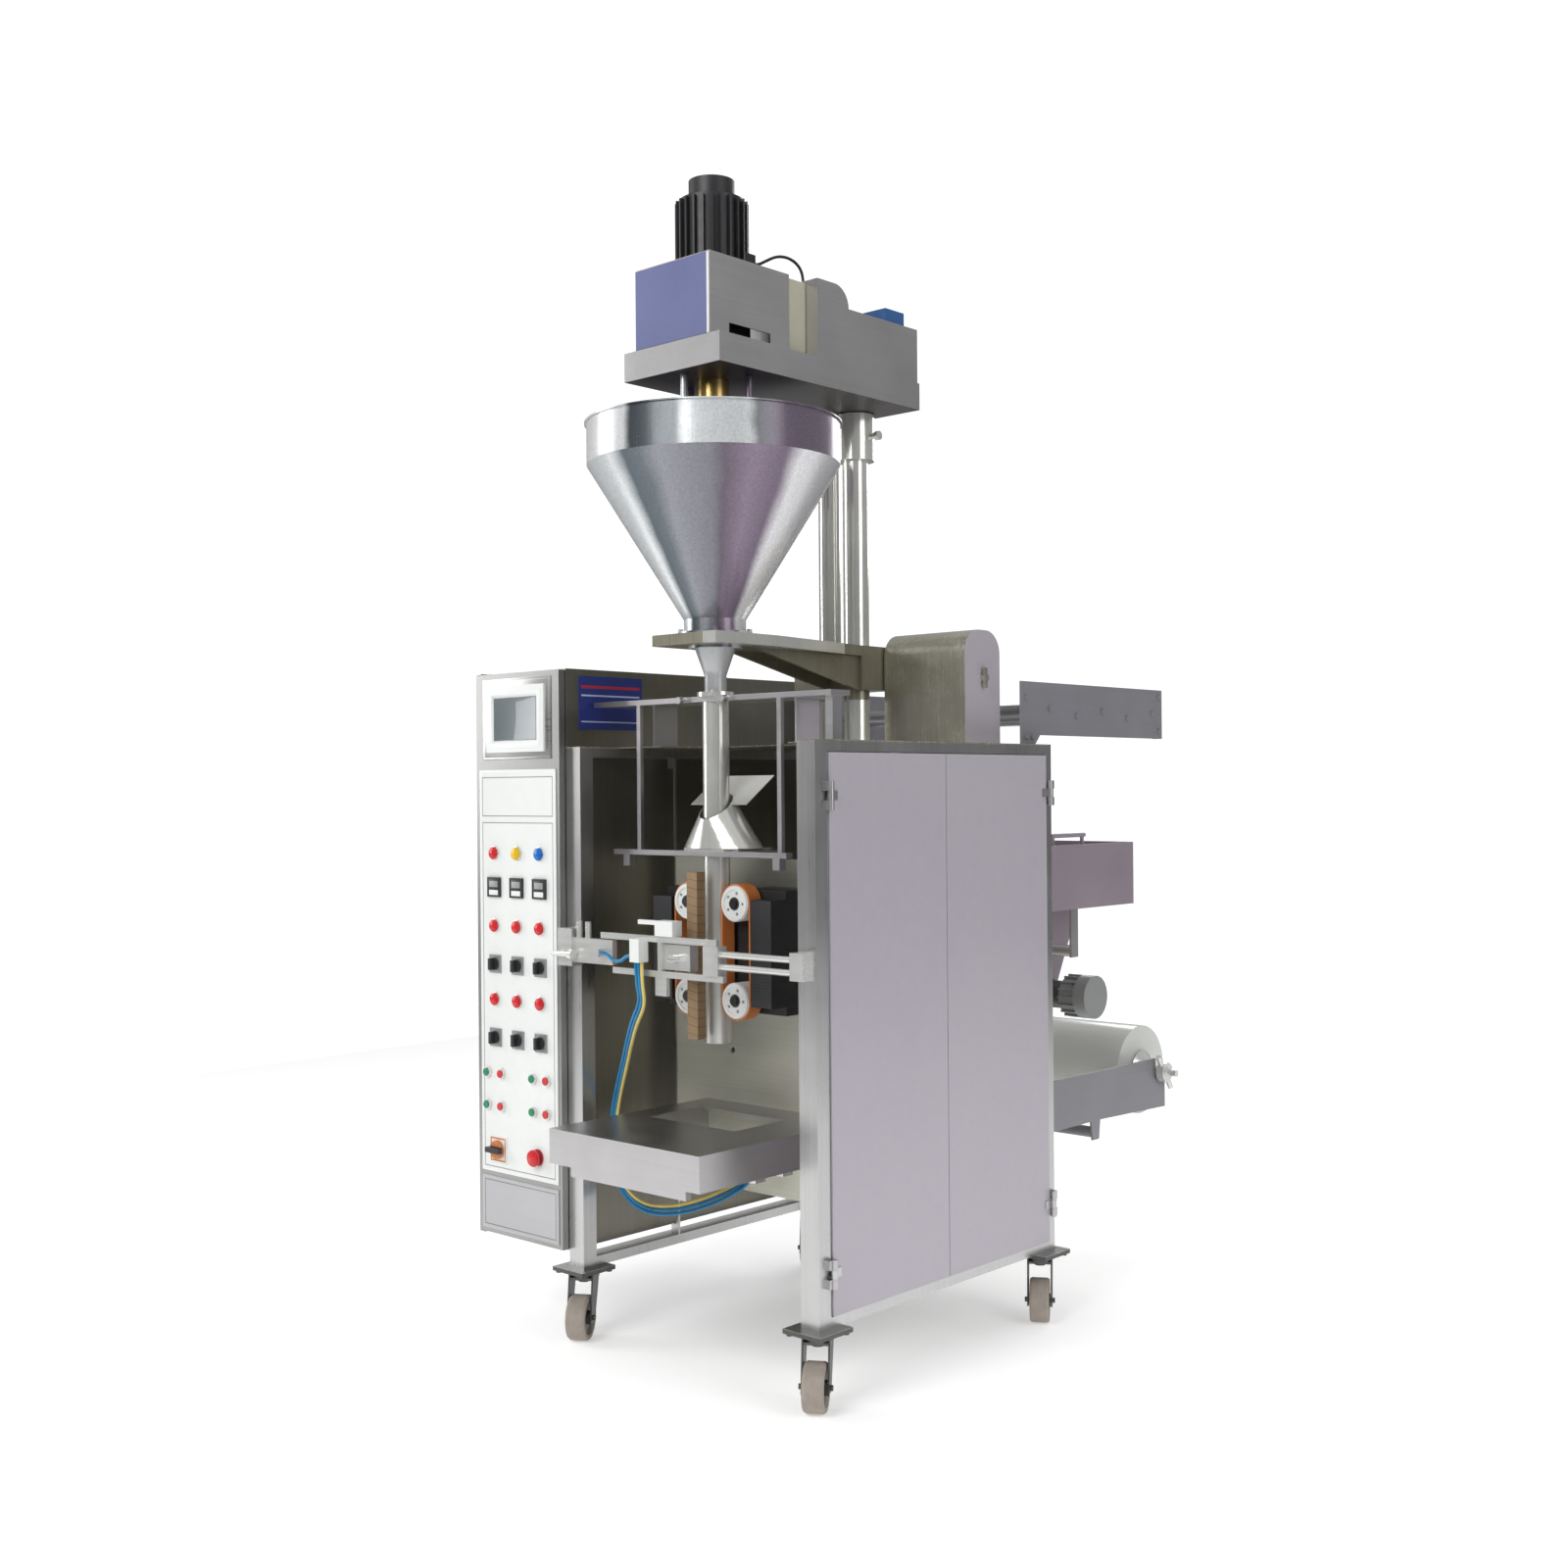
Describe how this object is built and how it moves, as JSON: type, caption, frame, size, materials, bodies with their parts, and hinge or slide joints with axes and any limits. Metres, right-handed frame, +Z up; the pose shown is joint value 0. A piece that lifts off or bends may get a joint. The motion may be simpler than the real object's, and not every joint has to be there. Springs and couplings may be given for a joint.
{
  "type": "vertical form fill sealer",
  "caption": "Vertical form, fill and seal machine with an auger powder filler on a column, belt film drive, upright and cross sealers, film roll at the back and casters",
  "frame": {"origin": "bottom centre of the whole machine's box, on the floor", "axes": "+X to the machine's right seen from its front, +Y to the back, +Z up"},
  "size_m": [1.1324, 1.7434, 2.65],
  "materials": {
    "posts_steel": "brushed stainless",
    "sheet_steel": "brushed stainless sheet",
    "polished_steel": "polished stainless",
    "cabinet_paint": "brushed stainless",
    "door_panel": "satin grey-lilac",
    "panel_white": "satin white",
    "button_plastic": "glossy red",
    "green_plastic": "glossy green",
    "black_plastic": "satin black",
    "caster_wheel": "grey-brown rubber",
    "caster_fork": "dark plated",
    "jaw_steel": "taped jaw",
    "belt_unit": "black housing",
    "pulley": "turned aluminium",
    "seal_carrier": "machined",
    "head_housing": "brushed stainless",
    "head_drives": "black",
    "film": "translucent white film",
    "roller": "turned",
    "hose_blue": "blue hose",
    "hose_yellow": "yellow hose",
    "cable_black": "black cable"
  },
  "bodies": {
    "machine": {"frame": "posts_steel", "deck_and_hood": "polished_steel", "mechanism_plate": "sheet_steel", "cabinet_shell": "cabinet_paint", "table_tray": "sheet_steel", "forming_frame": "sheet_steel", "forming_tube": "polished_steel", "seal_carrier": "seal_carrier", "support_column": "polished_steel", "hopper": "polished_steel", "head_housing": "head_housing", "head_drives": "head_drives", "film_side_plates": "sheet_steel", "film_guide_frame": "sheet_steel", "air_lines_blue": "hose_blue", "air_line_yellow": "hose_yellow", "head_cable": "cable_black"},
    "cabinet_door": {"cabinet_door": "cabinet_paint", "control_panel": "panel_white"},
    "front_side_door": {"front_side_door": "door_panel"},
    "rear_side_door": {"rear_side_door": "door_panel"},
    "selector_1": {"selector_1": "black_plastic"},
    "selector_2": {"selector_2": "black_plastic"},
    "selector_3": {"selector_3": "black_plastic"},
    "selector_4": {"selector_4": "black_plastic"},
    "selector_5": {"selector_5": "black_plastic"},
    "selector_6": {"selector_6": "black_plastic"},
    "push_button_1": {"push_button_1": "green_plastic"},
    "push_button_2": {"push_button_2": "button_plastic"},
    "push_button_3": {"push_button_3": "green_plastic"},
    "push_button_4": {"push_button_4": "button_plastic"},
    "push_button_5": {"push_button_5": "green_plastic"},
    "push_button_6": {"push_button_6": "button_plastic"},
    "push_button_7": {"push_button_7": "green_plastic"},
    "push_button_8": {"push_button_8": "button_plastic"},
    "estop_button": {"estop_button": "button_plastic"},
    "main_switch": {"main_switch": "black_plastic"},
    "front_left_caster_fork": {"front_left_caster_fork": "caster_fork"},
    "front_left_caster_wheel": {"front_left_caster_wheel": "caster_wheel"},
    "front_right_caster_fork": {"front_right_caster_fork": "caster_fork"},
    "front_right_caster_wheel": {"front_right_caster_wheel": "caster_wheel"},
    "rear_left_caster_fork": {"rear_left_caster_fork": "caster_fork"},
    "rear_left_caster_wheel": {"rear_left_caster_wheel": "caster_wheel"},
    "rear_right_caster_fork": {"rear_right_caster_fork": "caster_fork"},
    "rear_right_caster_wheel": {"rear_right_caster_wheel": "caster_wheel"},
    "front_jaw": {"front_jaw": "jaw_steel"},
    "rear_jaw": {"rear_jaw": "jaw_steel"},
    "right_belt_unit": {"right_belt_unit": "belt_unit"},
    "left_belt_unit": {"left_belt_unit": "belt_unit"},
    "right_lower_pulley": {"right_lower_pulley": "pulley"},
    "right_upper_pulley": {"right_upper_pulley": "pulley"},
    "left_lower_pulley": {"left_lower_pulley": "pulley"},
    "left_upper_pulley": {"left_upper_pulley": "pulley"},
    "seal_bar": {"seal_bar": "jaw_steel"},
    "auger": {"auger": "polished_steel"},
    "agitator": {"agitator": "sheet_steel"},
    "idler_roller": {"idler_roller": "roller"},
    "dancer": {"dancer": "sheet_steel"},
    "pull_roller": {"pull_roller": "roller"},
    "film_roll": {"film_roll": "film"}
  },
  "joints": [
    {"name": "cabinet_door_hinge", "type": "hinge", "parent": "machine", "child": "cabinet_door", "pos_m": [-0.55568, -0.69225, 0.9], "axis": [0, 0, 1], "range_deg": [-110, 0]},
    {"name": "front_side_door_hinge", "type": "hinge", "parent": "machine", "child": "front_side_door", "pos_m": [0.53982, -0.64425, 0.77], "axis": [0, 0, 1], "range_deg": [-105, 0]},
    {"name": "rear_side_door_hinge", "type": "hinge", "parent": "machine", "child": "rear_side_door", "pos_m": [0.53982, 0.16475, 0.77], "axis": [0, 0, 1], "range_deg": [0, 105]},
    {"name": "selector_1_turn", "type": "hinge", "parent": "cabinet_door", "child": "selector_1", "pos_m": [-0.49368, -0.70325, 0.863], "axis": [0, 1, 0], "range_deg": [-45, 45]},
    {"name": "selector_2_turn", "type": "hinge", "parent": "cabinet_door", "child": "selector_2", "pos_m": [-0.40868, -0.70325, 0.863], "axis": [0, 1, 0], "range_deg": [-45, 45]},
    {"name": "selector_3_turn", "type": "hinge", "parent": "cabinet_door", "child": "selector_3", "pos_m": [-0.32368, -0.70325, 0.863], "axis": [0, 1, 0], "range_deg": [-45, 45]},
    {"name": "selector_4_turn", "type": "hinge", "parent": "cabinet_door", "child": "selector_4", "pos_m": [-0.49368, -0.70325, 0.684], "axis": [0, 1, 0], "range_deg": [-45, 45]},
    {"name": "selector_5_turn", "type": "hinge", "parent": "cabinet_door", "child": "selector_5", "pos_m": [-0.40868, -0.70325, 0.684], "axis": [0, 1, 0], "range_deg": [-45, 45]},
    {"name": "selector_6_turn", "type": "hinge", "parent": "cabinet_door", "child": "selector_6", "pos_m": [-0.32368, -0.70325, 0.684], "axis": [0, 1, 0], "range_deg": [-45, 45]},
    {"name": "push_button_1_press", "type": "slide", "parent": "cabinet_door", "child": "push_button_1", "axis": [0, 1, 0], "range_m": [0, 0.004], "stiffness_N_per_m": 800, "springref_m": -0.002},
    {"name": "push_button_2_press", "type": "slide", "parent": "cabinet_door", "child": "push_button_2", "axis": [0, 1, 0], "range_m": [0, 0.004], "stiffness_N_per_m": 800, "springref_m": -0.002},
    {"name": "push_button_3_press", "type": "slide", "parent": "cabinet_door", "child": "push_button_3", "axis": [0, 1, 0], "range_m": [0, 0.004], "stiffness_N_per_m": 800, "springref_m": -0.002},
    {"name": "push_button_4_press", "type": "slide", "parent": "cabinet_door", "child": "push_button_4", "axis": [0, 1, 0], "range_m": [0, 0.004], "stiffness_N_per_m": 800, "springref_m": -0.002},
    {"name": "push_button_5_press", "type": "slide", "parent": "cabinet_door", "child": "push_button_5", "axis": [0, 1, 0], "range_m": [0, 0.004], "stiffness_N_per_m": 800, "springref_m": -0.002},
    {"name": "push_button_6_press", "type": "slide", "parent": "cabinet_door", "child": "push_button_6", "axis": [0, 1, 0], "range_m": [0, 0.004], "stiffness_N_per_m": 800, "springref_m": -0.002},
    {"name": "push_button_7_press", "type": "slide", "parent": "cabinet_door", "child": "push_button_7", "axis": [0, 1, 0], "range_m": [0, 0.004], "stiffness_N_per_m": 800, "springref_m": -0.002},
    {"name": "push_button_8_press", "type": "slide", "parent": "cabinet_door", "child": "push_button_8", "axis": [0, 1, 0], "range_m": [0, 0.004], "stiffness_N_per_m": 800, "springref_m": -0.002},
    {"name": "estop_press", "type": "slide", "parent": "cabinet_door", "child": "estop_button", "axis": [0, 1, 0], "range_m": [0, 0.006], "stiffness_N_per_m": 1500, "springref_m": -0.003},
    {"name": "main_switch_turn", "type": "hinge", "parent": "cabinet_door", "child": "main_switch", "pos_m": [-0.48668, -0.70325, 0.411], "axis": [0, 1, 0], "range_deg": [0, 90]},
    {"name": "front_left_swivel", "type": "hinge", "parent": "machine", "child": "front_left_caster_fork", "pos_m": [-0.22718, -0.65925, 0.15], "axis": [0, 0, 1], "continuous": true},
    {"name": "front_left_wheel_spin", "type": "hinge", "parent": "front_left_caster_fork", "child": "front_left_caster_wheel", "pos_m": [-0.21129, -0.68469, 0.052], "axis": [0.848, 0.5299, 0], "continuous": true},
    {"name": "front_right_swivel", "type": "hinge", "parent": "machine", "child": "front_right_caster_fork", "pos_m": [0.50482, -0.65925, 0.15], "axis": [0, 0, 1], "continuous": true},
    {"name": "front_right_wheel_spin", "type": "hinge", "parent": "front_right_caster_fork", "child": "front_right_caster_wheel", "pos_m": [0.52071, -0.68469, 0.052], "axis": [0.848, 0.5299, 0], "continuous": true},
    {"name": "rear_left_swivel", "type": "hinge", "parent": "machine", "child": "rear_left_caster_fork", "pos_m": [-0.22718, 0.15575, 0.15], "axis": [0, 0, 1], "continuous": true},
    {"name": "rear_left_wheel_spin", "type": "hinge", "parent": "rear_left_caster_fork", "child": "rear_left_caster_wheel", "pos_m": [-0.21129, 0.13031, 0.052], "axis": [0.848, 0.5299, 0], "continuous": true},
    {"name": "rear_right_swivel", "type": "hinge", "parent": "machine", "child": "rear_right_caster_fork", "pos_m": [0.50482, 0.15575, 0.15], "axis": [0, 0, 1], "continuous": true},
    {"name": "rear_right_wheel_spin", "type": "hinge", "parent": "rear_right_caster_fork", "child": "rear_right_caster_wheel", "pos_m": [0.52071, 0.13031, 0.052], "axis": [0.848, 0.5299, 0], "continuous": true},
    {"name": "rear_jaw_slide", "type": "slide", "parent": "machine", "child": "rear_jaw", "axis": [0, -1, 0], "range_m": [0, 0.02]},
    {"name": "front_jaw_slide", "type": "slide", "parent": "machine", "child": "front_jaw", "axis": [0, 1, 0], "range_m": [0, 0.02]},
    {"name": "right_belt_slide", "type": "slide", "parent": "machine", "child": "right_belt_unit", "axis": [1, 0, 0], "range_m": [0, 0.025]},
    {"name": "left_belt_slide", "type": "slide", "parent": "machine", "child": "left_belt_unit", "axis": [-1, 0, 0], "range_m": [0, 0.025]},
    {"name": "right_lower_pulley_spin", "type": "hinge", "parent": "right_belt_unit", "child": "right_lower_pulley", "pos_m": [0.21332, -0.57425, 0.815], "axis": [0, 1, 0], "continuous": true},
    {"name": "right_upper_pulley_spin", "type": "hinge", "parent": "right_belt_unit", "child": "right_upper_pulley", "pos_m": [0.21332, -0.57425, 1.03], "axis": [0, 1, 0], "continuous": true},
    {"name": "left_lower_pulley_spin", "type": "hinge", "parent": "left_belt_unit", "child": "left_lower_pulley", "pos_m": [0.06432, -0.57425, 0.815], "axis": [0, 1, 0], "continuous": true},
    {"name": "left_upper_pulley_spin", "type": "hinge", "parent": "left_belt_unit", "child": "left_upper_pulley", "pos_m": [0.06432, -0.57425, 1.03], "axis": [0, 1, 0], "continuous": true},
    {"name": "seal_bar_slide", "type": "slide", "parent": "machine", "child": "seal_bar", "axis": [0, 1, 0], "range_m": [0, 0.024]},
    {"name": "auger_spin", "type": "hinge", "parent": "machine", "child": "auger", "pos_m": [0.13882, -0.57425, 1.5], "axis": [0, 0, 1], "continuous": true},
    {"name": "agitator_spin", "type": "hinge", "parent": "machine", "child": "agitator", "pos_m": [0.13882, -0.57425, 1.95], "axis": [0, 0, 1], "continuous": true},
    {"name": "idler_roller_spin", "type": "hinge", "parent": "machine", "child": "idler_roller", "pos_m": [0.13882, 0.73075, 1.475], "axis": [1, 0, 0], "continuous": true},
    {"name": "dancer_swing", "type": "hinge", "parent": "machine", "child": "dancer", "pos_m": [0.13882, 0.45075, 0.99], "axis": [1, 0, 0], "range_deg": [-25, 25]},
    {"name": "pull_roller_spin", "type": "hinge", "parent": "machine", "child": "pull_roller", "pos_m": [0.13882, 0.51775, 0.736], "axis": [1, 0, 0], "continuous": true},
    {"name": "film_roll_spin", "type": "hinge", "parent": "machine", "child": "film_roll", "pos_m": [0.13882, 0.75375, 0.519], "axis": [1, 0, 0], "continuous": true}
  ],
  "couplings": [
    {"joint": "front_jaw_slide", "follows": "rear_jaw_slide", "ratio": 1},
    {"joint": "left_belt_slide", "follows": "right_belt_slide", "ratio": 1},
    {"joint": "right_upper_pulley_spin", "follows": "right_lower_pulley_spin", "ratio": 1},
    {"joint": "left_upper_pulley_spin", "follows": "right_lower_pulley_spin", "ratio": -1},
    {"joint": "left_lower_pulley_spin", "follows": "right_lower_pulley_spin", "ratio": -1}
  ]
}
